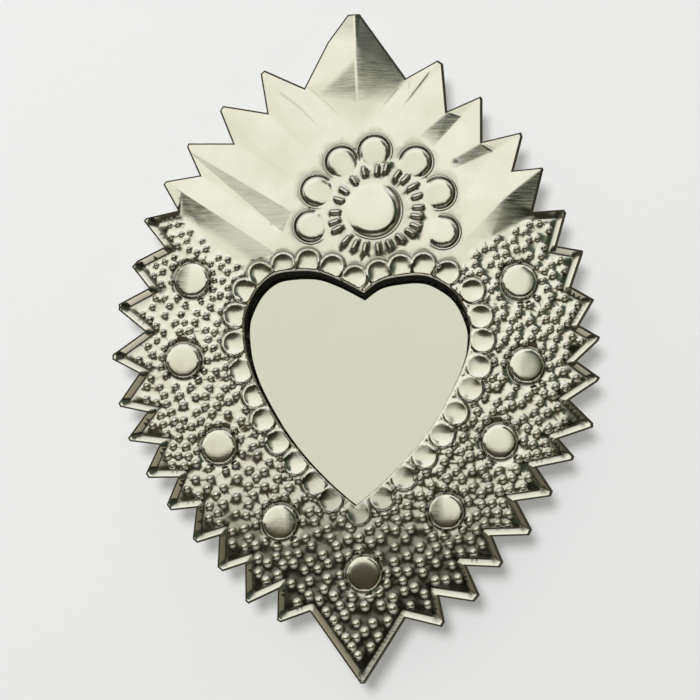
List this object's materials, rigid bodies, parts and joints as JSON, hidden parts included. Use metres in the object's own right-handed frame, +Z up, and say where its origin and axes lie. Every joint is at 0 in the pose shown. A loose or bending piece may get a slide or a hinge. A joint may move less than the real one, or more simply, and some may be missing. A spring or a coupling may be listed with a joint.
{
  "type": "wall mirror",
  "caption": "Small wall mirror: an embossed, saw-toothed tin sheet with a heart-shaped opening over a recessed glass, a tray behind it and a swinging wire ring to hang it by.",
  "frame": {"origin": "centre of the tray's flat back face, which lies against the wall behind the heart-shaped opening", "axes": "+Z up, +Y into the wall, so the decorated face looks along -Y, +X to the right of someone facing the mirror"},
  "size_m": [0.1655, 0.0149, 0.2282],
  "materials": {
    "bright_tin": "bright hand-embossed tinplate",
    "plain_tin": "dull unpolished tinplate",
    "black_board": "black-dyed fibre board",
    "mirror_glass": "silvered 2 mm glass",
    "grey_card": "grey packing card",
    "solder": "soft solder, cooled bright",
    "steel_wire": "galvanised wire"
  },
  "bodies": {
    "frame": {"front_sheet": "bright_tin", "spacer_board": "black_board", "mirror_glass": "mirror_glass", "packing_card": "grey_card", "back_tray": "plain_tin", "hanger_strap": "plain_tin", "tray_solder_1": "solder", "tray_solder_2": "solder", "tray_solder_3": "solder", "tray_solder_4": "solder", "tray_solder_5": "solder", "tray_solder_6": "solder", "tray_solder_7": "solder", "tray_solder_8": "solder", "tray_solder_9": "solder", "strap_solder_1": "solder", "strap_solder_2": "solder"},
    "ring": {"hanging_ring": "steel_wire"}
  },
  "joints": [
    {"name": "ring_swing", "type": "hinge", "parent": "frame", "child": "ring", "pos_m": [0, -0.0106, 0.08897], "axis": [1, 0, 0], "range_deg": [0, 180]}
  ]
}
